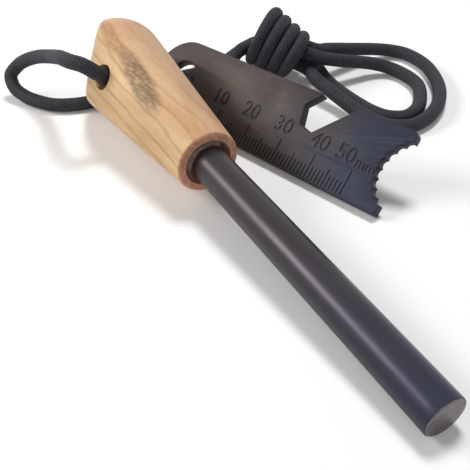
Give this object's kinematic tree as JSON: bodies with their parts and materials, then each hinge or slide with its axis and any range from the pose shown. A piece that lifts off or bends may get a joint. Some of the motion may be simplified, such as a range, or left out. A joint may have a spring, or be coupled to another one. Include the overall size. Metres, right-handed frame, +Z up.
{
  "type": "ferro rod fire starter",
  "caption": "Ferrocerium fire starter: round rod in a tapered wooden handle, flat steel ruler striker with hook notch and toothed end, joined by a knotted cord lanyard.",
  "frame": {"origin": "on the surface the part lies on, under the middle of the rod, handle and striker", "axes": "+X from the butt of the handle to the tip of the rod, +Z up, +Y to the side where the striker lies"},
  "size_m": [0.1459, 0.1057, 0.0254],
  "materials": {
    "handle wood": "smooth, oiled, with fine grain",
    "rod metal": "dark satin ferrocerium",
    "glue": "clear brown epoxy",
    "striker steel": "dark blackened steel, satin",
    "lanyard cord": "braided nylon"
  },
  "bodies": {
    "grip": {"handle": "handle wood", "ferro_rod": "rod metal", "epoxy_bond": "glue", "lanyard_handle_loop": "lanyard cord"},
    "lanyard": {"lanyard_strand_through_striker": "lanyard cord", "lanyard_strand_under_butt": "lanyard cord", "lanyard_knot": "lanyard cord", "lanyard_outer_bight": "lanyard cord", "lanyard_inner_bight": "lanyard cord"},
    "striker": {"striker": "striker steel"}
  },
  "joints": [
    {"name": "lanyard_slack", "type": "slide", "parent": "grip", "child": "lanyard", "axis": [-0.2441, 0.9697, 0], "range_m": [0, 0.03]},
    {"name": "striker_turn", "type": "hinge", "parent": "lanyard", "child": "striker", "pos_m": [-0.04904, 0.00171, 0.00767], "axis": [0.1726, -0.6857, 0.7071], "range_deg": [0, 60]}
  ]
}
